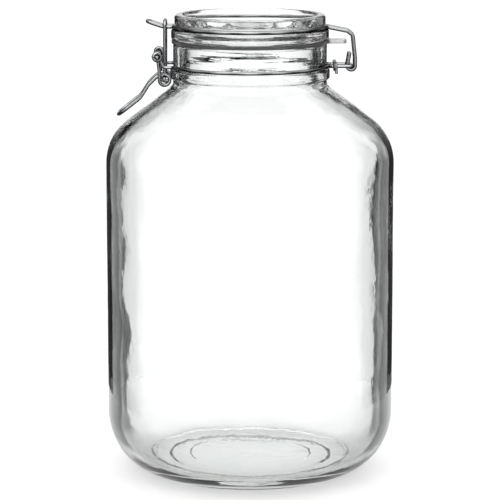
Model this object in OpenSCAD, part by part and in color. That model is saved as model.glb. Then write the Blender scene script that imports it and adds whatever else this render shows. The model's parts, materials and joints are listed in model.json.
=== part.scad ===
// Swing-clip glass canister: a round glass jar with a glass lid, a rubber gasket between
// them, and bent steel wires that hinge the lid at the back and clamp it at the front.
// The jar stands on Z = 0 with its axis on Z. The clasp is at -X and the hinge at +X.

/* [Jar] */
// Height of the glass jar, from the table to its sealing rim
jar_h = 264.6; // [230:0.1:330]
// Largest width of the jar, below the shoulder
body_d = 176.6; // [146:0.1:213]
// How much narrower the jar is just above its heel
body_taper = 0; // [0:0.1:4]
// Thickness of the side wall
wall = 4.5; // [3:0.1:6]
// Thickness of the base at its middle
base_t = 6; // [4:0.1:9]
// Width of the rounded heel, from the standing ring out to the wall
heel_w = 32.8; // [22:0.1:36]
// Height of the rounded heel
heel_h = 37.4; // [22:0.1:44]
// Radius where the shoulder turns down into the wall
shoulder_r = 33; // [16:0.5:36]
// Slope of the shoulder below the horizontal, in degrees
shoulder_slope = 37.3; // [34:0.1:44]
// Width of the standing ring
foot_w = 5; // [3:0.1:8]
// How far the base is pushed up inside the standing ring
push_up = 2; // [1:0.1:4]
// Diameter of the round panel pressed into the middle of the base
panel_d = 74; // [50:1:84]
// Height of the step round that panel
panel_step = 0.8; // [0.4:0.1:1.5]

/* [Neck] */
// Outer diameter of the neck
neck_d = 94; // [78:0.1:113]
// Height of the neck, from the top of the shoulder to the rim
neck_h = 25.2; // [24:0.1:32]
// Thickness of the neck wall
neck_wall = 4.4; // [3:0.1:5.5]
// How far the bead round the neck stands out
bead_out = 1.8; // [1.2:0.1:2.4]
// Height of the bead
bead_h = 6.4; // [5:0.1:7]
// Distance from the rim down to the middle of the bead
bead_drop = 18.4; // [18:0.1:20]
// Distance from the rim down to the neck wire
neck_wire_drop = 13.6; // [12.5:0.1:13.8]

/* [Lid] */
// How far the lid's upper bead stays inside the neck's outer face
lid_inset = 0.9; // [0.4:0.1:1.5]
// How far the lid's flange stands out past the neck
flange_out = 1.2; // [0.6:0.1:1.8]
// Height of the flange
flange_h = 5.6; // [4:0.1:6.5]
// Height of the lid from the flange's underside to its top
lid_h = 15.3; // [14.5:0.1:18]
// Gap on each side between the mouth and the plug that reaches into it
plug_gap = 1.7; // [1.4:0.1:2.5]
// Depth of the plug below the flange
plug_h = 4.6; // [4:0.1:5.5]
// How much the plug narrows on each side towards its end
plug_taper = 0.9; // [0.5:0.1:1.5]
// Width of the plug's rim round the hollow under the lid
plug_rim = 5.4; // [4:0.1:8]
// Width of the rim round the dish in the top of the lid
lid_rim = 4; // [3:0.1:6]
// Depth of the dish in the top of the lid
dish_h = 7.6; // [5:0.1:9]
// Width of the slope round the dish's floor
dish_slope = 8; // [4:0.1:12]
// Thickness of the glass at the middle of the lid
lid_t = 5.4; // [4:0.1:6]

/* [Gasket] */
// Thickness of the gasket
gasket_t = 2.3; // [1.8:0.1:3]
// How far the gasket stays inside the flange's edge
gasket_inset = 0.4; // [0.2:0.1:1]
// Length of the pull tab beyond the gasket's edge
tab_l = 11; // [6:0.1:11.4]
// Width of the pull tab
tab_w = 12; // [8:0.5:16]

/* [Wires] */
// Diameter of the wire round the neck
neck_wire_d = 2.2; // [1.8:0.1:2.4]
// Diameter of the wire round the lid
lid_wire_d = 2.4; // [2:0.1:2.6]
// Diameter of the bail's wire
bail_d = 2.2; // [1.8:0.1:2.3]
// Diameter of the lever's wire
lever_d = 2.2; // [1.8:0.1:2.3]
// Diameter of the wire tie at the back
tie_d = 1.8; // [1.2:0.1:2]

/* [Clasp] */
// Distance from the neck out to the bail's line of pull
bail_out = 4.6; // [4.4:0.1:6]
// Distance from the line of pull out to the lever's pivot
pivot_out = 4.4; // [4.2:0.1:4.6]
// Distance from the rim down to the lever's pivot
pivot_drop = 7; // [6.5:0.1:9]
// Distance from the rim down to the bail's lower ends
bail_drop = 20.8; // [20:0.1:23]
// Half the distance between the bail's sides
bail_y = 7; // [6.8:0.1:7.4]
// Half the distance between the lever's sides
lever_y = 10.5; // [10.4:0.1:10.8]
// Half the distance between the neck wire's front eyes
eye_y = 14.3; // [14.2:0.1:16]
// Radius of the lever's eyes, to the middle of the wire
lever_eye_r = 3.1; // [2.8:0.05:3.4]
// Half the distance between the tongue's sides
tongue_y = 4.2; // [3.6:0.1:4.3]
// How far the tongue reaches past the line of pull
tongue_l = 10.6; // [8:0.1:12]
// How far the tongue's tip curls up
tongue_rise = 3.2; // [2:0.1:3.6]
// Play between the bail and the tongue when the gasket isn't squeezed
bail_play = 1.25; // [1.2:0.05:2]
// Length of the lever's handle, from its bend to its tip
handle_l = 17.2; // [12:0.1:26]

/* [Hinge] */
// Distance from the neck out to the hinge crossbar
hinge_out = 14.6; // [14:0.1:16]
// Half the distance between the sides of the neck wire's rear loop
loop_y = 7; // [6.8:0.1:9]
// Half the distance between the lid wire's hinge legs
leg_y = 3.8; // [3.4:0.1:4]
// Length of the free ends above the hinge hooks
stub_l = 7.5; // [4:0.1:9]

/* [Fits] */
// Clearance on each side between a wire's eye and the pin in it
pin_fit = 0.08; // [0.04:0.01:0.1]
// Clearance between a wire and the glass it lies against
glass_fit = 0.1; // [0.05:0.01:0.2]
// Clearance between the closed gasket and the jar's rim
seal_fit = 0.1; // [0.05:0.01:0.2]

/* [Hidden] */
$fn = 96;
glass = [0.86, 0.93, 0.92, 0.4];
rubber = [0.93, 0.92, 0.88];
steel = [0.72, 0.73, 0.75];
// Sides of a swept wire, and the most that it turns from one ring to the next
wire_sides = 12;
ring_turn = 18;
// A swept wire reaches this far into the exact part it joins, and is this share as thick
lap = 0.25;
lap_share = 0.98;
body_r = body_d / 2;
neck_r = neck_d / 2;
foot_r = body_r - body_taper / 2 - heel_w;
plug_r = neck_r - neck_wall - plug_gap;
flange_r = neck_r + flange_out;
lid_r = neck_r - lid_inset;
gasket_r = flange_r - gasket_inset;
// Heights of the rings, the flange and the lid's top
flange_z = jar_h + seal_fit + gasket_t;
groove_r = lid_wire_d / 2 + glass_fit;
lid_ring_z = flange_z + flange_h + groove_r + 0.9;
neck_ring_z = jar_h - neck_wire_drop;
// Radii of the two rings, to the middle of the wire
neck_ring_r = neck_r + glass_fit + neck_wire_d / 2;
groove_depth = 1.4;
lid_ring_r = lid_r - groove_depth + groove_r;
// Points of the clasp and hinge in the XZ plane
pull_x = -(neck_r + bail_out);
pivot = [pull_x - pivot_out, jar_h - pivot_drop];
bail_foot = [pull_x - 0.2, jar_h - bail_drop];
bail_top = [pull_x, lid_ring_z + lid_wire_d / 2 + bail_play + bail_d / 2];
eye_slack = lever_eye_r - lever_d / 2 - bail_d / 2 - pin_fit;
lever_eye = [bail_foot.x, bail_foot.y - eye_slack];
hinge = [neck_r + hinge_out, neck_ring_z];
front_eye_r = lever_d / 2 + pin_fit + neck_wire_d / 2;
hook_r = neck_wire_d / 2 + pin_fit + lid_wire_d / 2;
pin_bend = 1.5;
// How far a swept wire starts inside a ring, in degrees, and the radius of its first bend
ring_lap = 0.3;
leave_bend = 2.6;
// Straight left at each end of the hinge crossbar, past the legs
cross_end = 1.9;
// Distance from the neck wire out to the tie
tie_gap = 2.4;
// Where the handle leaves the lever's eye, in degrees, and how far it runs straight from there
leave_angle = 105;
leave_l = 4.3;

function unit(v) = v / norm(v);
function turn(a, b) = acos(max(-1, min(1, a * b)));
// Points on the arc that rounds the corner b between a and c with radius r
function corner(a, b, c, r) =
  let (u = unit(b - a), v = unit(c - b), t = turn(u, v), n = ceil(t / ring_turn))
  r == 0 || t < 0.5 ? [b] :
  let (m = b + unit(v - u) * r / cos(t / 2), x = (b - u * r * tan(t / 2) - m) / r)
  [for (i = [0:n]) m + r * (cos(t * i / n) * x + sin(t * i / n) * u)];
// A route or an outline through points p, with each inner corner rounded to its radius
function rounded(p, r) = [
  for (i = [0:len(p) - 1])
    each i == 0 || i == len(p) - 1 ? [p[i]] : corner(p[i - 1], p[i], p[i + 1], r[i])
];
// A point in the XZ plane, moved to the given Y
function at(p, y) = [p.x, y, p.y];
// A point on a level ring: radius r, a degrees from the X axis, height z
function on_ring(r, a, z) = [r * cos(a), r * sin(a), z];
// Angle at which a ring of radius r stops to bend off at distance y from the XZ plane
function ring_stop(r, y, bend) = asin((y + bend) / r);
// The direction of a route at its point i
function heading(p, i) = unit(p[min(i + 1, len(p) - 1)] - p[max(i - 1, 0)]);
function square_to(v, t) = unit(v - t * (t * v));
function first_side(t) = square_to(abs(t.z) < 0.8 ? [0, 0, 1] : [1, 0, 0], t);
// One side direction for each point, carried along the route without twist
function sides(p) = [
  for (i = 0, x = first_side(heading(p, 0)); i < len(p);
    i = i + 1, x = i < len(p) ? square_to(x, heading(p, i)) : x) x
];

// A round wire swept along route p
module swept(p, d) {
  n = wire_sides;
  last = len(p) - 1;
  x = sides(p);
  r = d / 2 * lap_share;
  points = [for (i = [0:last], k = [0:n - 1])
    let (t = heading(p, i), a = 360 * k / n) p[i] + r * (cos(a) * x[i] + sin(a) * cross(t, x[i]))];
  tube = [for (i = [0:last - 1], k = [0:n - 1])
    let (a = i * n + k, b = i * n + (k + 1) % n) each [[a, a + n, b], [b, a + n, b + n]]];
  polyhedron(points, concat([[for (k = [0:n - 1]) k]], tube, [[for (k = [n - 1:-1:0]) last * n + k]]));
}

// A round pin along Y, from y0 to y1, at a point of the XZ plane
module pin(p, y0, y1, d) {
  translate([p.x, y0, p.y]) rotate([-90, 0, 0]) cylinder(d = d, h = y1 - y0);
}

// A wire eye in the XZ plane, from angle a0 through angle a
module eye(p, y, r, d, a0 = 0, a = 360) {
  translate([p.x, y, p.y]) rotate([90, 0, 0])
    rotate_extrude(angle = a, start = a0) translate([r, 0]) circle(d = d, $fn = 32);
}

// Part of a level wire ring, from angle a0 to angle a1
module ring(r, z, d, a0, a1) {
  translate([0, 0, z])
    rotate_extrude(angle = a1 - a0, start = a0) translate([r, 0]) circle(d = d, $fn = 32);
}

// Both sides of what is symmetrical about the XZ plane
module both() {
  children();
  mirror([0, 1, 0]) children();
}

// The heel: a quarter of an ellipse, from the standing ring up to the wall
function heel(r, w, bottom) =
  [for (a = [0:6:90]) [r - w + w * sin(a), heel_h - (heel_h - bottom) * cos(a)]];

// The jar's outline from the heel up to the rim, moved inwards by t
function jar_side(t, neck_t, bottom) =
  let (
    r1 = body_r - t,
    rn = neck_r - neck_t,
    slope = [cos(shoulder_slope), -sin(shoulder_slope)],
    // The shoulder's line, moved inwards square to itself
    a = [neck_r, jar_h - neck_h] + t * [-sin(shoulder_slope), -cos(shoulder_slope)],
    top = a + slope * (rn - a.x) / slope.x,
    edge = a + slope * (r1 - a.x) / slope.x,
    low = heel(r1 - body_taper / 2, heel_w - t, bottom)
  )
  concat(
    [for (i = [0:len(low) - 2]) low[i]],
    rounded([low[len(low) - 1], [r1, edge.y], top, [rn, jar_h]], [0, shoulder_r - t, 4 + (t > 0 ? 3 : 0), 0])
  );

module jar_outline() {
  outer = jar_side(0, 0, 0);
  inner = jar_side(wall, neck_wall, push_up + base_t);
  lip = 1.2;
  polygon(concat(
    [[0, push_up + panel_step], [panel_d / 2, push_up + panel_step], [panel_d / 2 + panel_step, push_up],
      [foot_r - foot_w - push_up, push_up], [foot_r - foot_w, 0]],
    [for (i = [0:len(outer) - 2]) outer[i]],
    rounded([[neck_r, jar_h - lip * 3], [neck_r, jar_h], [neck_r - neck_wall, jar_h],
      [neck_r - neck_wall, jar_h - lip * 3]], [0, lip, lip, 0]),
    [for (i = [len(inner) - 2:-1:0]) inner[i]],
    [[0, push_up + base_t]]
  ));
}

// The bead that the neck wire rests above
module bead_outline() {
  h = bead_h / 2;
  r = neck_r + bead_out;
  z = jar_h - bead_drop;
  polygon(rounded(
    [[neck_r - 1, z - h - 1], [neck_r - 1 + 0.5, z - h], [r, z - h], [r, z + h], [neck_r - 1, z + h]],
    [0, 0, h * 0.9, h * 0.9, 0]
  ));
}

module jar() color(glass) rotate_extrude($fn = 180) {
  jar_outline();
  bead_outline();
}

module lid_outline() {
  r = lid_r;
  top = flange_z + lid_h;
  bottom = flange_z - plug_h;
  floor_z = top - dish_h;
  under_z = floor_z - lid_t;
  ledge = lid_ring_z - groove_r;
  shelf = lid_ring_z + groove_r;
  inner_r = plug_r - plug_rim;
  polygon(concat(
    [[0, under_z]],
    rounded([[inner_r - 4, under_z], [inner_r, under_z], [inner_r, bottom], [plug_r - plug_taper, bottom],
      [plug_r, flange_z], [flange_r, flange_z], [flange_r, ledge], [r - groove_depth, ledge],
      [r - groove_depth, shelf], [r, shelf], [r, top], [r - lid_rim, top],
      [r - lid_rim - dish_slope, floor_z], [r - lid_rim - dish_slope - 4, floor_z]],
      [0, 2, 1, 1, 0.4, 1.6, 1.6, 0.8, 0.8, 1.2, 2, 1.6, 3, 0]),
    [[0, floor_z]]
  ));
}

module lid() color(glass) rotate_extrude($fn = 180) lid_outline();

module gasket() color(rubber) {
  tab_r = 3;
  translate([0, 0, jar_h + seal_fit]) difference() {
    union() {
      cylinder(r = gasket_r, h = gasket_t, $fn = 180);
      translate([0, -tab_w / 2, 0]) cube([gasket_r + tab_l - tab_r, tab_w, gasket_t]);
      translate([gasket_r + tab_l - 2 * tab_r, -tab_w / 2 + tab_r, 0])
        cube([2 * tab_r, tab_w - 2 * tab_r, gasket_t]);
      both() translate([gasket_r + tab_l - tab_r, tab_w / 2 - tab_r, 0])
        cylinder(r = tab_r, h = gasket_t, $fn = 32);
    }
    translate([0, 0, -1]) cylinder(r = plug_r + glass_fit, h = gasket_t + 2, $fn = 180);
  }
}

// The neck wire: two half rings, front eyes for the lever, and a rear loop for the hinge
module neck_wire() color(steel) {
  d = neck_wire_d;
  r = neck_ring_r;
  z = neck_ring_z;
  b = 3;
  front = ring_stop(r, eye_y, b);
  back = ring_stop(r, loop_y, b);
  eye_right = pivot + [front_eye_r, 0];
  front_x = -sqrt(r * r - eye_y * eye_y);
  back_x = sqrt(r * r - loop_y * loop_y);
  both() {
    ring(r, z, d, back, 180 - front);
    eye(pivot, eye_y, front_eye_r, d, 0, 360);
    swept(rounded([on_ring(r, 180 - front - ring_lap, z), [front_x - 0.9, eye_y, z],
      [(front_x + eye_right.x) / 2 - 2.5, eye_y, z], at([eye_right.x, pivot.y - 3], eye_y),
      at(eye_right + [0, lap], eye_y)], [0, leave_bend, 2.4, 2.4, 0]), d);
    swept(rounded([on_ring(r, back + ring_lap, z), [back_x + 0.3, loop_y, z], [hinge.x, loop_y, z],
      [hinge.x, leg_y + cross_end - lap, z]], [0, leave_bend, 1.2, 0]), d);
  }
  pin(hinge, -leg_y - cross_end, leg_y + cross_end, d);
}

// The tie that closes the rear loop where it leaves the neck
module neck_tie() color(steel) {
  x = neck_ring_r + neck_wire_d / 2 + tie_gap;
  y = loop_y + neck_wire_d / 2 + pin_fit + tie_d / 2;
  h = neck_wire_d / 2 + pin_fit + tie_d / 2;
  translate([x, 0, neck_ring_z]) rotate([0, 90, 0]) rotate([0, 0, 90]) {
    straight = y - h;
    both() translate([-straight, h, 0]) rotate([0, 90, 0])
      cylinder(d = tie_d, h = 2 * straight, $fn = 32);
    translate([straight, 0, 0]) rotate_extrude(angle = 180, start = -90)
      translate([h, 0]) circle(d = tie_d, $fn = 32);
    translate([-straight, 0, 0]) rotate_extrude(angle = 180, start = 90)
      translate([h, 0]) circle(d = tie_d, $fn = 32);
  }
}

// The lid wire: two half rings, the front tongue, and rear legs that hook the crossbar
module lid_wire() color(steel) {
  d = lid_wire_d;
  r = lid_ring_r;
  z = lid_ring_z;
  b = 3;
  front = ring_stop(r, tongue_y, b);
  back = ring_stop(r, leg_y, b);
  tip_x = pull_x - tongue_l;
  hook_end = 190;
  knee = [hinge.x + 0.9, z - 5.2];
  stub = hinge + hook_r * [-cos(hook_end - 180), sin(hook_end - 180)];
  both() {
    ring(r, z, d, back, 180 - front);
    swept(rounded([on_ring(r, back + ring_lap, z), [r * cos(back) + 0.7, leg_y, z],
      [hinge.x - 2.4, leg_y, z - 2.6],
      at(knee, leg_y), at(hinge + [hook_r, 4.5], leg_y), at(hinge + [hook_r, -lap], leg_y)],
      [0, leave_bend, 2.5, 2.5, 4, 0]), d);
    eye(hinge, leg_y, hook_r, d, -hook_end, hook_end);
    swept([at(stub - lap * [sin(hook_end - 180), cos(hook_end - 180)], leg_y),
      at(stub + stub_l * [sin(hook_end - 180), cos(hook_end - 180)], leg_y)], d);
  }
  swept(rounded([on_ring(r, 180 - front - ring_lap, z), [-r * cos(front) - 0.4, tongue_y, z],
    [pull_x - 1, tongue_y, z], [tip_x, tongue_y, z + tongue_rise], [tip_x, -tongue_y, z + tongue_rise],
    [pull_x - 1, -tongue_y, z], [-r * cos(front) - 0.4, -tongue_y, z],
    on_ring(r, front + ring_lap - 180, z)],
    [0, leave_bend, 9, 3, 3, 9, leave_bend, 0]), d);
}

// The lever: pivot pins, arms, the eyes that hold the bail, and the handle
module lever() color(steel) {
  d = lever_d;
  y = lever_y;
  e = lever_eye;
  r = lever_eye_r;
  // Where the handle leaves the top of the eye, and the points it then runs through
  way = [-sin(leave_angle), cos(leave_angle)];
  top = e + r * [cos(leave_angle), sin(leave_angle)];
  h0 = top + leave_l * way;
  h1 = h0 + [-5, -5];
  h2 = h1 + [-5, -7.8];
  h3 = h2 + handle_l * unit([-14, -11]);
  left = e + [-r, 0];
  both() {
    pin(pivot, y + pin_bend, eye_y + neck_wire_d / 2 + 1, d);
    eye(e, y, r, d);
    swept(rounded([at(pivot, y + pin_bend + lap), at(pivot, y), at(left + [0, 5], y), at(left - [0, lap], y)],
      [0, pin_bend - 0.01, 8, 0]), d);
  }
  in = top - lap * way;
  swept(rounded([at(in, y), at(h0, y), at(h1, y), at(h2, y), at(h3, y), at(h3, -y), at(h2, -y),
    at(h1, -y), at(h0, -y), at(in, -y)], [0, 4, 8, 10, 7, 7, 10, 8, 4, 0]), d);
}

// The bail: a loop over the tongue with its ends turned out through the lever's eyes
module bail() color(steel) {
  y = bail_y;
  end = lever_y + lever_d / 2 + 0.6;
  both() pin(bail_foot, y + pin_bend, end, bail_d);
  swept(rounded([at(bail_foot, y + pin_bend + lap), at(bail_foot, y), at(bail_top, y), at(bail_top, -y),
    at(bail_foot, -y), at(bail_foot, -y - pin_bend - lap)],
    [0, pin_bend - 0.01, 3, 3, pin_bend - 0.01, 0]), bail_d);
}

jar();
lid();
gasket();
neck_wire();
neck_tie();
lid_wire();
lever();
bail();
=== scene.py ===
import json
import math

import bpy
import numpy as np
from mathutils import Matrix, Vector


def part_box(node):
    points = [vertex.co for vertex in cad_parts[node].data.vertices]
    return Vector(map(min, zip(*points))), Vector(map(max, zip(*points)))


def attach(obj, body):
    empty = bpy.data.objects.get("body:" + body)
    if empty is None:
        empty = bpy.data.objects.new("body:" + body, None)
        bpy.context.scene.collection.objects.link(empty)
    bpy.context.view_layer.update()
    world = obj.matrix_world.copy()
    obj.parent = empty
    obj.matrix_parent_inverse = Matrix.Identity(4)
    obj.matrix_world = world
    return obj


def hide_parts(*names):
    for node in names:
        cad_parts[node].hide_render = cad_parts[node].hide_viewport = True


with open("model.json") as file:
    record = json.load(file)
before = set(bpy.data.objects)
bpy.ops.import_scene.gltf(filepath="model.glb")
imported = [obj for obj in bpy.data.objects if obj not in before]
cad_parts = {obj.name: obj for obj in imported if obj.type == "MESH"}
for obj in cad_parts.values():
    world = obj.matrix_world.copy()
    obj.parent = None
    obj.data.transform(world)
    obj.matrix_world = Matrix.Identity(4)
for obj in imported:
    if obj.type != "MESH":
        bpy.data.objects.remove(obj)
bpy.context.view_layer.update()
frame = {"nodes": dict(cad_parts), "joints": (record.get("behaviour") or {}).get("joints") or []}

# Lengths in this script are millimetres, and a mesh is made in metres at the end.
MM = 0.001
JOINT = {j["name"]: np.array(j["pos_m"]) / MM for j in frame["joints"]}
BOX = {name: np.array([list(corner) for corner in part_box(name)]) / MM for name in frame["nodes"]}


# ---------------------------------------------------------------- shapes

def unit(v):
    """Each vector divided by its length."""
    return v / np.linalg.norm(v, axis=-1, keepdims=True)


def arc(before, corner, after, radius, step=6.0):
    """The arc of a radius that touches the lines before-corner and corner-after: centre plus radius
    times (cos a times the way from the centre to the first touch, plus sin a times the way of the
    first line)."""
    u, v = unit(corner - before), unit(after - corner)
    turn = math.acos(np.clip(u @ v, -1, 1))
    if radius == 0 or turn < 0.01:
        return corner[None]
    centre = corner + unit(v - u) * radius / math.cos(turn / 2)
    out = (corner - u * radius * math.tan(turn / 2) - centre) / radius
    a = np.linspace(0, turn, 2 + int(math.degrees(turn) / step))[:, None]
    return centre + radius * (np.cos(a) * out + np.sin(a) * u)


def rounded(points, radii):
    """The points joined by straight lines, with an arc of its own radius at each inner point."""
    p = [np.array(q, float) for q in points]
    inner = [arc(p[i - 1], p[i], p[i + 1], radii[i]) for i in range(1, len(p) - 1)]
    return np.vstack([p[0][None]] + inner + [p[-1][None]])


def dense(line, longest):
    """The line with points added evenly along any straight part longer than the given length."""
    parts = [np.linspace(a, b, 1 + max(1, math.ceil(np.linalg.norm(b - a) / longest)))[:-1]
             for a, b in zip(line[:-1], line[1:])]
    line = np.vstack(parts + [line[-1:]])
    keep = np.r_[True, np.linalg.norm(np.diff(line, axis=0), axis=1) > 1e-4]
    return line[keep]


def grid_faces(rows, columns, closed=False):
    """Four-sided faces between the rows of a grid whose last column joins its first. In a closed
    grid the last row joins the first row too."""
    i, j = np.meshgrid(np.arange(rows if closed else rows - 1), np.arange(columns), indexing="ij")
    below, above = i * columns, (i + 1) % rows * columns
    ahead = (j + 1) % columns
    return np.stack([below + j, below + ahead, above + ahead, above + j], -1).reshape(-1, 4)


def piece(name, points, faces, material, body, nodes=(), slot=None, attribute=None):
    """A smooth mesh object in metres that rides on a body and stands for CAD nodes."""
    mesh = bpy.data.meshes.new(name)
    mesh.from_pydata(points * MM, [], faces)
    mesh.polygons.foreach_set("use_smooth", np.ones(len(mesh.polygons), bool))
    if attribute is not None:
        layer = mesh.attributes.new("wire", "FLOAT_VECTOR", "POINT")
        layer.data.foreach_set("vector", attribute.astype(np.float32).ravel())
    mesh.update()
    made = bpy.data.objects.new(name, mesh)
    bpy.context.scene.collection.objects.link(made)
    made.data.materials.append(material)
    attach(made, body)
    if nodes:
        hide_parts(*nodes)
    return made


def turned(profile, columns, wave=None):
    """A profile of (radius, height) turned about Z: x = r cos a, y = r sin a. The profile starts and
    ends on the axis, so each end closes in a fan round one point. wave(r, a, z) is added to the
    radius."""
    ring = profile[1:-1]
    a = np.linspace(0, 2 * np.pi, columns, endpoint=False)[None]
    r, z = ring[:, :1] + 0 * a, ring[:, 1:] + 0 * a
    if wave:
        r = r + wave(r, a, z)
    points = np.stack([r * np.cos(a), r * np.sin(a), z], -1).reshape(-1, 3)
    n, k = len(points), np.arange(columns)
    poles = np.array([[0, 0, profile[0, 1]], [0, 0, profile[-1, 1]]])
    start = np.stack([np.full(columns, n), (k + 1) % columns, k], -1)
    end = np.stack([np.full(columns, n + 1), n - columns + k, n - columns + (k + 1) % columns], -1)
    faces = grid_faces(len(ring), columns).tolist() + start.tolist() + end.tolist()
    return np.vstack([points, poles]), faces


def wire(path, diameter, columns=18):
    """A round wire: at each point of the path a circle of the wire's radius, square to the path, with
    both ends cut square and their edges rounded by a fifth of the radius. The circle starts from the
    direction that the path is least in line with, out of many spread evenly over a ball by the golden
    angle. Also gives (cos, sin, length) for drawn lines."""
    r = diameter / 2
    way = unit(np.gradient(path, axis=0))
    tries = 400
    golden = np.arange(tries) * math.pi * (3 - math.sqrt(5))
    height = np.linspace(-0.99, 0.99, tries)
    flat = np.sqrt(1 - height ** 2)
    spread = np.stack([flat * np.cos(golden), flat * np.sin(golden), height], -1)
    in_line = np.abs(spread @ way.T).max(1)
    side = unit(np.cross(spread[in_line.argmin()], way))
    over = np.cross(way, side)
    rounding = 0.2
    lip = np.array([1.0, 0.7, 0.3, 0.0]) * r * rounding
    share = 1 - rounding * np.array([1.0, 0.45, 0.12, 0.0])
    head = path[0] - way[0] * lip[:, None]
    tail = path[-1] + way[-1] * lip[::-1, None]
    centre = np.vstack([head, path[1:-1], tail])
    size = np.r_[share, np.ones(len(path) - 2), share[::-1]] * r
    side, over = (np.vstack([v[:1].repeat(len(lip), 0), v[1:-1], v[-1:].repeat(len(lip), 0)])
                  for v in (side, over))
    a = np.linspace(0, 2 * np.pi, columns, endpoint=False)
    circle = np.cos(a)[None, :, None] * side[:, None] + np.sin(a)[None, :, None] * over[:, None]
    points = (centre[:, None] + size[:, None, None] * circle).reshape(-1, 3)
    run = np.r_[0, np.cumsum(np.linalg.norm(np.diff(centre, axis=0), axis=1))]
    drawn = np.stack([np.cos(a)[None] + 0 * run[:, None], np.sin(a)[None] + 0 * run[:, None],
                      run[:, None] + 0 * a[None]], -1).reshape(-1, 3)
    last = (len(centre) - 1) * columns
    caps = [list(range(columns - 1, -1, -1)), list(range(last, last + columns))]
    return points, grid_faces(len(centre), columns).tolist() + caps, drawn


def at(p, y):
    """A point given in the XZ plane, moved to a Y."""
    return np.array([p[0], y, p[1]])


def level_arc(radius, a0, a1, z):
    """Points round a level circle from angle a0 to angle a1, in degrees."""
    a = np.radians(np.linspace(a0, a1, 2 + int(abs(a1 - a0) / 2)))
    return np.stack([radius * np.cos(a), radius * np.sin(a), 0 * a + z], -1)


def coil(centre, radius, a0, a1, y0, y1):
    """A coil about a line along Y: x and z go round the centre from angle a0 to a1, in degrees, while
    y runs from y0 to y1."""
    a = np.linspace(a0, a1, 2 + int(abs(a1 - a0) / 9))
    y = np.interp(a, sorted([a0, a1]), [y0, y1] if a1 > a0 else [y1, y0])
    a = np.radians(a)
    return np.stack([centre[0] + radius * np.cos(a), y, centre[1] + radius * np.sin(a)], -1)


def mirrored(path):
    """The path on the other side of the XZ plane, run backwards."""
    return path[::-1] * [1, -1, 1]


# ---------------------------------------------------------------- shader maths

class Shade:
    """One output of a material's nodes. Sums and products on it add Math nodes."""

    def __init__(self, tree, socket):
        self.tree, self.socket = tree, socket

    def math(self, operation, first, second):
        return node(self.tree, "Math", {"operation": operation}, {0: first, 1: second})

    def __add__(self, other):
        return self.math("ADD", self, other)

    def __sub__(self, other):
        return self.math("SUBTRACT", self, other)

    def __rsub__(self, other):
        return self.math("SUBTRACT", other, self)

    def __mul__(self, other):
        return self.math("MULTIPLY", self, other)

    __radd__, __rmul__ = __add__, __mul__


def node(tree, kind, settings=None, inputs=None, output=0):
    """Adds a node: its settings first, then a value or a link for each socket. Gives one output."""
    made = tree.nodes.new("ShaderNode" + kind)
    for name, value in (settings or {}).items():
        setattr(made, name, value)
    for name, value in (inputs or {}).items():
        if isinstance(value, Shade):
            tree.links.new(value.socket, made.inputs[name])
        else:
            made.inputs[name].default_value = value
    return Shade(tree, made.outputs[output]) if len(made.outputs) else None


def ramp(tree, factor, stops):
    """A number that goes smoothly through (place, value) stops as the factor grows."""
    made = tree.nodes.new("ShaderNodeValToRGB")
    made.color_ramp.interpolation = "EASE"
    while len(made.color_ramp.elements) < len(stops):
        made.color_ramp.elements.new(0.5)
    for element, (place, value) in zip(made.color_ramp.elements, stops):
        element.position, element.color = place, (value, value, value, 1)
    tree.links.new(factor.socket, made.inputs[0])
    return Shade(tree, made.outputs[0])


def mixed(tree, factor, first, second):
    """A colour between two colours."""
    made = tree.nodes.new("ShaderNodeMix")
    made.data_type = "RGBA"
    tree.links.new(factor.socket, made.inputs[0])
    for index, value in ((6, first), (7, second)):
        if isinstance(value, Shade):
            tree.links.new(value.socket, made.inputs[index])
        else:
            made.inputs[index].default_value = (*value, 1)
    return Shade(tree, made.outputs[2])


def material(name):
    """An empty material, its node tree and a function that joins one Principled shader to its output."""
    made = bpy.data.materials.new(name)
    made.use_nodes = True
    tree = made.node_tree
    tree.nodes.clear()

    def finish(**inputs):
        names = {key.replace("_", " "): value for key, value in inputs.items()}
        shader = node(tree, "BsdfPrincipled", None, names)
        node(tree, "OutputMaterial", None, {0: shader})
        return made

    return tree, finish


def noise(tree, vector, scale, detail=2.0, rough=0.5):
    """A soft noise of about nought to one."""
    return node(tree, "TexNoise", None,
                {"Vector": vector, "Scale": scale, "Detail": detail, "Roughness": rough})


def stretched(tree, vector, scale):
    """A place scaled along each axis, so that a pattern on it is drawn out."""
    return node(tree, "Mapping", None, {0: vector, "Scale": scale})


def larger(tree, first, second):
    """The larger of two numbers."""
    return node(tree, "Math", {"operation": "MAXIMUM"}, {0: first, 1: second})


def upward(tree):
    """How far the surface faces up: the normal's height, from minus one to one."""
    return node(tree, "SeparateXYZ", None, {0: node(tree, "NewGeometry", output="Normal")}, output="Z")


def smooth_step(tree, value, low, high):
    """Nought below low and one above high, with a smooth rise between."""
    return node(tree, "MapRange", {"interpolation_type": "SMOOTHSTEP"}, {0: value, 1: low, 2: high})


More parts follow.
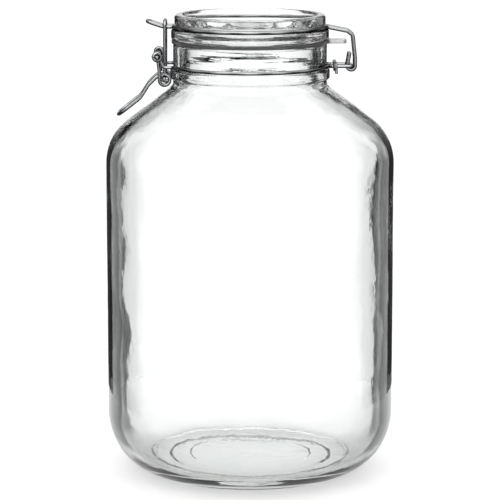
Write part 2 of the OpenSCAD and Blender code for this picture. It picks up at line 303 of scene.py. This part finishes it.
def clear_glass(name, wave_scale, wave_height, rings_from, shade_colour, shade_band):
    """Pressed clear glass: slow waves left by the mould, fine level ridges above a height, and painted
    shade on steep edges, where the colour goes dark by facing angle in place of the dark surroundings
    seen through the glass. The painted shade reaches further in at the ridges and the heel, where the
    glass is thicker, and it fades where a face lies level. Between the two heights of the band the
    thick wall is painted dark at a sharp, wavy line, also painted shade. All heights are in metres."""
    tree, finish = material(name)
    place = node(tree, "TexCoord", output="Object")
    slow = noise(tree, place, wave_scale, 1.5)
    fine = noise(tree, place, wave_scale * 6, 2.5)
    ridges = noise(tree, stretched(tree, place, (0.06, 0.06, 1.0)), 300.0, 1.0)
    high = node(tree, "SeparateXYZ", None, {0: place}, output="Z")
    fade, heel_low, heel_high, shade_band_fade = 0.004, 0.030, 0.055, 0.012
    ringed = smooth_step(tree, high, rings_from - fade, rings_from + fade)
    height = slow + fine * 0.12 + ridges * ringed * 0.5
    normal = node(tree, "Bump", None, {"Strength": 1.0, "Distance": wave_height * MM, "Height": height})
    facing = node(tree, "LayerWeight", None, {"Blend": 0.5, "Normal": normal}, output="Facing")
    up = upward(tree)
    level = 1 - up * up
    heel = 1 - smooth_step(tree, high, heel_low, heel_high)
    thick = larger(tree, ringed, heel)
    # painted shade: the colour goes dark on steep edges by facing angle, further in where the glass is
    # thicker
    edge = ramp(tree, facing + thick * 0.18, [(0.32, 0.0), (0.54, 0.25), (0.78, 0.60), (1.0, 1.0)])
    # painted shade: a dark band on the thick wall between the two heights, ending at a sharp wavy line
    wall_shade_band = (smooth_step(tree, high + slow * 0.02, shade_band[0], shade_band[0] + shade_band_fade)
              * (1 - smooth_step(tree, high - slow * 0.02, shade_band[1] - shade_band_fade, shade_band[1])))
    streak = noise(tree, stretched(tree, place, (1.0, 1.0, 0.16)), 90.0, 2.0)
    line = smooth_step(tree, facing + slow * 0.16 + streak * 0.10, 0.70, 0.75)
    # painted shade: the larger of the edge shade and the wall band darkens the base colour
    painted_shade = larger(tree, edge * level * (level + thick - level * thick), wall_shade_band * line)
    colour = mixed(tree, painted_shade, (0.985, 0.995, 0.99), shade_colour)
    return finish(Base_Color=colour, Roughness=fine * 0.02, Normal=normal, IOR=1.5,
                  Specular_Tint=(0.3, 0.3, 0.3, 1), Transmission_Weight=1.0)


def drawn_steel(name):
    """Bright drawn wire: fine lines along its length, slow stains and duller scuffs, and painted shade
    that darkens its colour towards its edges and its underside, in place of dark reflections."""
    tree, finish = material(name)
    place = node(tree, "Attribute", {"attribute_name": "wire"}, output="Vector")
    lines = noise(tree, stretched(tree, place, (5.0, 5.0, 0.12)), 2.0, 4.0, 0.6)
    stain = noise(tree, node(tree, "TexCoord", output="Object"), 60.0, 3.0)
    normal = node(tree, "Bump", None, {"Strength": 0.15, "Distance": 0.05 * MM, "Height": lines})
    facing = node(tree, "LayerWeight", None, {"Blend": 0.5, "Normal": normal}, output="Facing")
    # painted shade: near black towards the edges by facing angle, and towards the underside
    rim = ramp(tree, facing * 0.8 - upward(tree) * 0.30 + 0.10, [(0.0, 0.0), (0.17, 0.60), (0.40, 1.0)])
    bare = mixed(tree, lines * 0.6 + stain * 0.4, (0.78, 0.79, 0.81), (0.93, 0.94, 0.95))
    # the near-black colour mixed in here is painted shade
    colour = mixed(tree, rim, bare, (0.012, 0.012, 0.015))
    rough = 0.16 + stain * 0.12 + lines * 0.06
    return finish(Base_Color=colour, Metallic=1.0, Roughness=rough, Normal=normal)


def soft_rubber(name):
    """Pale see-through rubber: cloudy inside, with a fine moulded grain. The ring is painted darker than
    the tab: painted shade where it lies between the lid and the jar."""
    tree, finish = material(name)
    place = node(tree, "TexCoord", output="Object")
    cloud = noise(tree, place, 120.0, 3.0)
    grain = noise(tree, place, 1400.0, 2.0)
    clear = mixed(tree, cloud, (0.90, 0.91, 0.90), (0.97, 0.97, 0.96))
    out = node(tree, "SeparateXYZ", None, {0: place}, output="X")
    tab_from, tab_full = 0.0475, 0.0500
    # painted shade: the ring inside the tab's reach is dark grey, shade between lid and jar; the tab
    # stays pale
    colour = mixed(tree, smooth_step(tree, out, tab_from, tab_full), (0.20, 0.20, 0.20), clear)
    normal = node(tree, "Bump", None, {"Strength": 0.3, "Distance": 0.06 * MM, "Height": grain})
    return finish(Base_Color=colour, Roughness=0.25 + cloud * 0.15, Normal=normal, IOR=1.41,
                  Transmission_Weight=0.72)


# The jar's thick wall gets a band of painted shade from the heel to the shoulder. The lid has no such
# wall, so
# # its band of painted shade lies above the whole object. The colour below is the near-black painted
# shade of
# # the glass edges.
PAINTED_GLASS_SHADE = (0.02, 0.022, 0.022)
RIDGES_FROM = 0.240
JAR_GLASS = clear_glass("jar_glass", 26.0, 0.5, RIDGES_FROM, PAINTED_GLASS_SHADE, (0.022, 0.200))
LID_GLASS = clear_glass("lid_glass", 60.0, 0.3, RIDGES_FROM, PAINTED_GLASS_SHADE, (0.9, 1.0))
STEEL = drawn_steel("drawn_steel")
RUBBER = soft_rubber("gasket_rubber")


# ---------------------------------------------------------------- the glass jar

BODY_R = BOX["jar"][1, 0]
RIM_Z = BOX["jar"][1, 2]
NECK_R = 47.0
WALL, NECK_WALL = 4.5, 4.4
HEEL_W, INNER_HEEL_W, HEEL_H = 32.8, 22.0, 37.4
SHOULDER_R, SLOPE = 33.0, math.radians(37.3)
NECK_H = 25.2
JAR_COLUMNS, LID_COLUMNS = 224, 256


def jar_side(t, neck_t, bottom, heel_w):
    """The jar's outline from the heel to the rim, moved inwards by t, or by neck_t at the neck. The
    heel is a quarter ellipse heel_w wide that starts at the bottom's height, the wall is straight, and
    the shoulder is a straight slope with rounded corners."""
    wall_r, neck_r = BODY_R - t, NECK_R - neck_t
    a = np.linspace(0, math.pi / 2, 32)[:-1]
    heel = np.stack([wall_r - heel_w + heel_w * np.sin(a), HEEL_H - (HEEL_H - bottom) * np.cos(a)], -1)
    way = np.array([math.cos(SLOPE), -math.sin(SLOPE)])
    start = np.array([NECK_R, RIM_Z - NECK_H]) - t * np.array([math.sin(SLOPE), math.cos(SLOPE)])
    top = start + way * (neck_r - start[0]) / way[0]
    edge = start + way * (wall_r - start[0]) / way[0]
    neck_bend = 4 if t == 0 else 7
    side = rounded([(wall_r, HEEL_H), (wall_r, edge[1]), top, (neck_r, RIM_Z)],
                   [0, SHOULDER_R - t, neck_bend, 0])
    return np.vstack([heel, side[:-1]])


def jar_profile():
    """The whole jar from the middle of its underside, out and up over the rim, and back inside."""
    push_up, base_top, panel_r, step, foot_w = 2.0, 8.0, 37.0, 0.8, 5.0
    foot_r = BODY_R - HEEL_W
    under = rounded([(0, push_up + step), (panel_r, push_up + step), (panel_r + step, push_up),
                     (foot_r - foot_w - push_up, push_up), (foot_r - foot_w, 0), (foot_r, 0)],
                    [0, 0.5, 0.5, 1.2, 0.8, 0])
    outer = jar_side(0, 0, 0, HEEL_W)
    bead_r, bead_z, half, lead = NECK_R + 1.8, RIM_Z - 18.4, 3.2, 1.2
    low, high = bead_z - half, bead_z + half
    bead = rounded([(NECK_R, low - lead), (NECK_R, low), (bead_r, low), (bead_r, high), (NECK_R, high),
                    (NECK_R, high + lead)], [0, 0.5, 1.5, 1.5, 0.5, 0])
    bore_r, lip, drop = NECK_R - NECK_WALL, 1.2, 3
    rim = rounded([(NECK_R, RIM_Z - drop), (NECK_R, RIM_Z), (bore_r, RIM_Z), (bore_r, RIM_Z - drop)],
                  [0, lip, lip, 0])
    inner = jar_side(WALL, NECK_WALL, base_top, INNER_HEEL_W)
    ring_r, ring_h, wide, narrow, ring_end = 61.0, 0.7, 1.6, 0.8, 4
    ring = rounded([(ring_r + wide, base_top), (ring_r + narrow, base_top + ring_h),
                    (ring_r - narrow, base_top + ring_h), (ring_r - wide, base_top),
                    (ring_r - ring_end, base_top)], [0, 0.6, 0.6, 0.6, 0])
    outline = np.vstack([under[:-1], outer, bead, rim, inner[::-1], ring, [(0, base_top)]])
    return dense(outline, 3.6)


def jar_wave(r, a, z):
    """Slow waves in the wall: sines of the angle and the height, stronger inside, none at the foot
    and the neck, where the mould shapes both faces. The blown glass is thinner over the shoulder.
    A face is inside if it comes after the profile's highest ring."""
    inside = np.arange(len(z))[:, None] > z[:, 0].argmax()
    neck_z = RIM_Z - NECK_H
    outer_wave, inner_wave, thinner = 0.05, 0.28, 1.1
    free = np.clip((z - 14) / 40, 0, 1) * np.clip((neck_z - 8 - z) / 30, 0, 1)
    slow = (np.sin(3 * a + z / 31) + 0.7 * np.sin(5 * a - z / 19 + 1.3)
            + 0.5 * np.sin(2 * a + z / 12 + 4.0) + 0.35 * np.sin(9 * a + z / 8.5 + 0.6))
    shoulder = np.clip((z - 180) / 25, 0, 1) * np.clip((neck_z - 3 - z) / 12, 0, 1)
    return free * slow * np.where(inside, inner_wave, outer_wave) + inside * shoulder * thinner


piece("glass_jar", *turned(jar_profile(), JAR_COLUMNS, jar_wave), JAR_GLASS, "jar_body", ["jar"],
      "clear_glass")


# ---------------------------------------------------------------- the lid and its gasket

FLANGE_Z = 267.0
FLANGE_R, LID_R, PLUG_R = 48.2, 46.1, 40.9
LID_TOP = BOX["lid"][1, 2]
PLUG_Z = BOX["lid"][0, 2]
LID_RING_Z = 274.8


def lid_profile():
    """The lid from the middle of its underside, down over the plug, out to the flange, up past the
    wire's groove to the rim, and down the dish to the middle of its top."""
    floor_z, under_z, groove = LID_TOP - 7.6, LID_TOP - 13.0, 1.3
    deep, inner_r = LID_R - 1.4, PLUG_R - 5.4
    points = [(0, under_z), (inner_r - 4, under_z), (inner_r, under_z), (inner_r, PLUG_Z),
              (PLUG_R - 0.9, PLUG_Z), (PLUG_R, FLANGE_Z), (FLANGE_R, FLANGE_Z),
              (FLANGE_R, LID_RING_Z - groove), (deep, LID_RING_Z - groove), (deep, LID_RING_Z + groove),
              (LID_R, LID_RING_Z + groove), (LID_R, LID_TOP), (LID_R - 4, LID_TOP),
              (LID_R - 12, floor_z), (LID_R - 16, floor_z), (0, floor_z)]
    return dense(rounded(points, [0, 0, 2, 1, 1, 0.4, 1.6, 1.6, 0.8, 0.8, 1.2, 2, 1.6, 3, 0, 0]), 2.0)


def lid_wave(r, a, z):
    """Slight sag of the pressed glass: sines of the angle and the radius, none at the groove."""
    free = np.clip((LID_R - 4 - r) / 10, 0, 1)
    return free * 0.12 * (np.sin(4 * a + r / 6) + 0.6 * np.sin(7 * a - z / 3))


piece("glass_lid", *turned(lid_profile(), LID_COLUMNS, lid_wave), LID_GLASS, "lid_body", ["lid"],
      "clear_glass")


def tab_reach(a, end_x, half_w, corner):
    """How far each ray from the axis, at an angle a, runs before it leaves a rounded rectangle that
    reaches to end_x and half_w to each side. The end's x is end_x - corner + sqrt(corner^2 - d^2), for
    a distance d past the start of the corner. Each round averages the last reach with the new one,
    until they meet."""
    slope = np.abs(np.sin(a))
    side = half_w / np.maximum(slope, 1e-6)
    reach = np.full(len(a), end_x)
    for _ in range(30):
        y = np.minimum(reach * slope, half_w)
        past = np.clip(y - half_w + corner, 0, corner)
        edge = end_x - corner + np.sqrt(corner ** 2 - past ** 2)
        reach = (reach + np.minimum(edge / np.cos(np.clip(np.arctan2(y, edge), 0, 0.5)), side)) / 2
    return np.minimum(reach, side)


def gasket_shape():
    """A flat ring with a pull tab. Its outer edge is the farther of a circle and the tab's rounded
    rectangle along each ray from the axis, and its section is a rectangle with rounded corners."""
    (z0, z1), outer_r, tab_x = BOX["gasket"][:, 2], -BOX["gasket"][0, 0], BOX["gasket"][1, 0]
    inner_r, tab_w, corner, soft, tab_turn = PLUG_R + 0.1, 6.0, 3.0, 0.5, 9
    fine, coarse = np.linspace(-tab_turn, tab_turn, 181), np.linspace(tab_turn, 360 - tab_turn, 260)
    a = np.radians(np.r_[fine, coarse[1:-1]])
    near = np.abs(np.degrees(a)) < tab_turn
    outer = np.maximum(outer_r, np.where(near, tab_reach(a, tab_x, tab_w, corner), 0))
    inner = np.full(len(a), inner_r)
    bend = np.radians(np.linspace(0, 90, 6))
    ease_in, ease_out = soft * (1 - np.sin(bend)), soft * (1 - np.cos(bend))
    inset = np.r_[ease_in, ease_out][:, None]
    height = np.r_[z0 + ease_out, z1 - ease_in]
    across = np.linspace(0, 1, 9)[1:-1, None]
    inwards = (outer - soft) * (1 - across) + (inner + soft) * across
    r = np.vstack([outer - inset, inwards, inner + inset[::-1], inwards[::-1]])
    flat = np.ones(len(across))
    z = np.r_[height, z1 * flat, height[::-1], z0 * flat][:, None] + 0 * a[None]
    points = np.stack([r * np.cos(a), r * np.sin(a), z], -1).reshape(-1, 3)
    return points, grid_faces(len(r), len(a), closed=True).tolist()


piece("gasket_ring", *gasket_shape(), RUBBER, "lid_body", ["gasket"], "gasket_rubber")


# ---------------------------------------------------------------- the wires

HINGE = JOINT["lid_hinge"][[0, 2]]
PIVOT = JOINT["lever_swing"][[0, 2]]
FOOT = JOINT["bail_swing"][[0, 2]]
NECK_WIRE, LID_WIRE, BAIL_WIRE, LEVER_WIRE, TIE_WIRE = 2.2, 2.4, 2.2, 2.2, 1.8
NECK_RING_R, LID_RING_R = 48.2, 46.0
NECK_RING_Z = HINGE[1]
PULL_X = -51.6
LOOP_Y, LEG_Y, EYE_Y, TONGUE_Y = 7.0, 3.8, 14.3, 4.2
FIT = 0.08
PATH_STEP = 1.2


def ring_stop(radius, y):
    """The angle at which a ring stops, to bend off at a distance y from the XZ plane."""
    room = 3
    return math.degrees(math.asin((y + room) / radius))


def neck_wire_path():
    """From the front coil round half the neck, out to the hinge crossbar, and back the same way."""
    r, z = NECK_RING_R, NECK_RING_Z
    front, back = ring_stop(r, EYE_Y), ring_stop(r, LOOP_Y)
    eye_r = LEVER_WIRE / 2 + FIT + NECK_WIRE / 2
    front_x, back_x = -math.sqrt(r * r - EYE_Y ** 2), math.sqrt(r * r - LOOP_Y ** 2)
    right_x = PIVOT[0] + eye_r
    turns, pitch = 1.5, 2.3
    wound = coil(PIVOT, eye_r, 360 * turns, 0, EYE_Y + turns * pitch, EYE_Y)
    rise = rounded([at((right_x, PIVOT[1]), EYE_Y), at((right_x, PIVOT[1] - 3), EYE_Y),
                    ((front_x + right_x) / 2 - 2.5, EYE_Y, z), (front_x - 0.9, EYE_Y, z),
                    level_arc(r, 180 - front, 180 - front, z)[0]], [0, 2.4, 2.4, 2.6, 0])
    half = level_arc(r, 180 - front, back, z)
    loop = rounded([half[-1], (back_x + 0.3, LOOP_Y, z), (HINGE[0], LOOP_Y, z), (HINGE[0], 0, z)],
                   [0, 2.6, 1.2, 0])
    path = np.vstack([wound, rise[1:], half[1:], loop[1:]])
    return dense(np.vstack([path, mirrored(path)[1:]]), PATH_STEP)


def lid_wire_path():
    """From a free end round the hinge hook, up the leg, round half the lid's groove and out to the
    tongue's tip, and back the same way."""
    r, z = LID_RING_R, LID_RING_Z
    front, back = ring_stop(r, TONGUE_Y), ring_stop(r, LEG_Y)
    hook_r, hook_end, stub_l = NECK_WIRE / 2 + FIT + LID_WIRE / 2, -190.0, 7.5
    out = np.radians(hook_end)
    end = HINGE + hook_r * np.array([math.cos(out), math.sin(out)])
    stub = end + stub_l * np.array([math.sin(out), -math.cos(out)])
    hook = coil(HINGE, hook_r, hook_end, 0, LEG_Y, LEG_Y)
    leg = rounded([at(HINGE + [hook_r, 0], LEG_Y), at(HINGE + [hook_r, 4.5], LEG_Y),
                   at((HINGE[0] + 0.9, z - 5.2), LEG_Y), at((HINGE[0] - 2.4, z - 2.6), LEG_Y),
                   (r * math.cos(math.radians(back)) + 0.7, LEG_Y, z), level_arc(r, back, back, z)[0]],
                  [0, 4, 2.5, 2.5, 2.6, 0])
    half = level_arc(r, back, 180 - front, z)
    tip_x, tip_z = PULL_X - 10.6, z + 3.2
    tongue = rounded([half[-1], (-r * math.cos(math.radians(front)) - 0.4, TONGUE_Y, z),
                      (PULL_X - 1, TONGUE_Y, z), (tip_x, TONGUE_Y, tip_z), (tip_x, 0, tip_z)],
                     [0, 2.6, 9, 3, 0])
    path = np.vstack([at(stub, LEG_Y)[None], hook, leg[1:], half[1:], tongue[1:]])
    return dense(np.vstack([path, mirrored(path)[1:]]), PATH_STEP)


def lever_path():
    """From the pivot's free end, down the arm, round the coil that holds the bail, and out along the
    handle to the middle of its tip, and back the same way. The arm passes outside the handle."""
    eye_r, arm_y, handle_y, wide_y = 3.1, 11.6, 9.4, 10.5
    slack = eye_r - LEVER_WIRE / 2 - BAIL_WIRE / 2 - FIT
    eye = FOOT - [0, slack]
    leave_angle, leave_l, pin_l, tip_l = 105, 4.3, 5.2, 17.2
    leave = math.radians(leave_angle)
    top = eye + eye_r * np.array([math.cos(leave), math.sin(leave)])
    h0 = top + leave_l * np.array([-math.sin(leave), math.cos(leave)])
    h1 = h0 + [-5, -5]
    h2 = h1 + [-5, -7.8]
    h3 = h2 + tip_l * unit(np.array([-14.0, -11.0]))
    left = eye - [eye_r, 0]
    arm = rounded([at(PIVOT, EYE_Y + pin_l), at(PIVOT, arm_y), at(left + [0, 5], arm_y),
                   at(left, arm_y)], [0, 1.5, 8, 0])
    wound = coil(eye, eye_r, 180, 360 + leave_angle, arm_y, handle_y)
    handle = rounded([at(top, handle_y), at(h0, handle_y), at(h1, handle_y + 0.5), at(h2, wide_y),
                      at(h3, wide_y), at(h3, 0)], [0, 4, 8, 10, 7, 0])
    path = np.vstack([arm, wound[1:], handle[1:]])
    return dense(np.vstack([path, mirrored(path)[1:]]), PATH_STEP)


def bail_path():
    """From one foot pin up the side, over the tongue, and down to the other foot pin."""
    top = (PULL_X, BOX["bail"][1, 2] - BAIL_WIRE / 2)
    pin_y, side_y = 12.9, 7.0
    path = rounded([at(FOOT, pin_y), at(FOOT, side_y), at(top, side_y), at(top, 0)], [0, 1.5, 3, 0])
    return dense(np.vstack([path, mirrored(path)[1:]]), PATH_STEP)


def tie_path():
    """A wire tie wound once and a little more round both sides of the hinge loop: a flat loop with
    round ends in a plane across the loop, whose own ends stand off, one up and one down. Each corner is
    a lean outwards, a side of the loop and a height, measured from the middle of the loop's wires."""
    gap, step = 2.4, 0.8
    x = NECK_RING_R + NECK_WIRE / 2 + gap
    h = NECK_WIRE / 2 + FIT + TIE_WIRE / 2
    side = LOOP_Y + h
    corners = [(-0.9, -side - 0.7, 3.6), (-0.4, -side, 1.2), (-0.3, -side, -h), (0, side, -h),
               (0, side, h), (0.3, -side, h), (0.6, -side, -1.6), (0.8, -side - 0.3, -4.2)]
    return dense(rounded(np.array(corners) + [x, 0, NECK_RING_Z], [0, 1.5, h, h, h, h, 1.5, 0]), step)


for name, path, size, body, cad in (
    ("neck_wire_loop", neck_wire_path(), NECK_WIRE, "jar_body", "neck_wire"),
    ("hinge_tie", tie_path(), TIE_WIRE, "jar_body", "neck_tie"),
    ("lid_wire_loop", lid_wire_path(), LID_WIRE, "lid_body", "lid_wire"),
    ("clasp_lever", lever_path(), LEVER_WIRE, "lever_body", "lever"),
    ("clasp_bail", bail_path(), BAIL_WIRE, "bail_body", "bail"),
):
    points, faces, drawn = wire(path, size)
    piece(name, points, faces, STEEL, body, [cad], "steel_wire", drawn)


# ---------------------------------------------------------------- floor, light and camera

FLOOR_R, FLOOR_Z, FLOOR_SIDES = 250, -0.15, 96
PANELS, GAP_LIGHT, PANEL_LIGHT, TOP_LIGHT = 8, 0.06, 1.04, 0.98


def studio_floor():
    """A plain pale floor: one flat disc with a faint mottle, so it isn't one flat colour."""
    tree, finish = material("pale_floor")
    place = node(tree, "TexCoord", output="Object")
    mottle = noise(tree, place, 3.0, 3.0)
    white = finish(Base_Color=mixed(tree, mottle, (0.90, 0.90, 0.90), (0.92, 0.92, 0.92)), Roughness=0.7,
                   Emission_Color=(1, 1, 1, 1), Emission_Strength=0.42)
    a = np.linspace(0, 2 * np.pi, FLOOR_SIDES, endpoint=False)
    rim = np.stack([FLOOR_R * np.cos(a), FLOOR_R * np.sin(a), 0 * a + FLOOR_Z], -1)
    mesh = bpy.data.meshes.new("floor")
    mesh.from_pydata(rim * MM, [], [list(range(FLOOR_SIDES))])
    floor = bpy.data.objects.new("floor", mesh)
    bpy.context.scene.collection.objects.link(floor)
    mesh.materials.append(white)


def studio_sky():
    """Eight tall soft panels round the object with darker gaps between them, under a soft white top.
    The panels are where cos(8 a) is high, for the level angle a of the direction."""
    world = bpy.data.worlds.new("studio")
    bpy.context.scene.world = world
    world.use_nodes = True
    tree = world.node_tree
    tree.nodes.clear()
    way = node(tree, "TexCoord", output="Generated")
    x, y, z = (node(tree, "SeparateXYZ", None, {0: way}, output=k) for k in range(3))
    angle = node(tree, "Math", {"operation": "ARCTAN2"}, {0: y, 1: x})
    turn = node(tree, "Math", {"operation": "COSINE"}, {0: angle * PANELS})
    panel = ramp(tree, turn * 0.5 + 0.5, [(0.38, 0.0), (0.62, 1.0)])
    top = ramp(tree, z, [(0.45, 0.0), (0.75, 1.0)])
    level = GAP_LIGHT + panel * (1 - top) * PANEL_LIGHT + top * TOP_LIGHT
    shader = node(tree, "Background", None, {0: (1, 1, 1, 1), "Strength": level})
    node(tree, "OutputWorld", None, {0: shader})


def soft_light(name, place, size, power, aim=(0, 0, 130)):
    """A square area light that faces a point."""
    data = bpy.data.lights.new(name, "AREA")
    data.size, data.energy = size * MM, power
    lamp = bpy.data.objects.new(name, data)
    lamp.location = np.array(place) * MM
    away = unit(np.array(place, float) - aim)
    lamp.rotation_euler = (math.acos(away[2]), 0, math.atan2(away[1], away[0]) + math.pi / 2)
    bpy.context.scene.collection.objects.link(lamp)


studio_floor()
studio_sky()
soft_light("key", (-900, -1300, 1900), 1400, 3)
soft_light("fill", (1500, 900, 1700), 1400, 2)

camera_data = bpy.data.cameras.new("camera")
camera_data.lens, camera_data.sensor_width = 177.0, 36.0
camera_data.shift_y = -0.077
camera = bpy.data.objects.new("camera", camera_data)
camera.location = (0, -1.494, 0.411)
camera.rotation_euler = (math.radians(90 - 9.52), 0, 0)
bpy.context.scene.collection.objects.link(camera)
bpy.context.scene.camera = camera

scene = bpy.context.scene
scene.view_settings.view_transform = "Standard"
scene.cycles.max_bounces = 32
scene.cycles.transmission_bounces = 32
scene.cycles.glossy_bounces = 8
scene.cycles.diffuse_bounces = 4
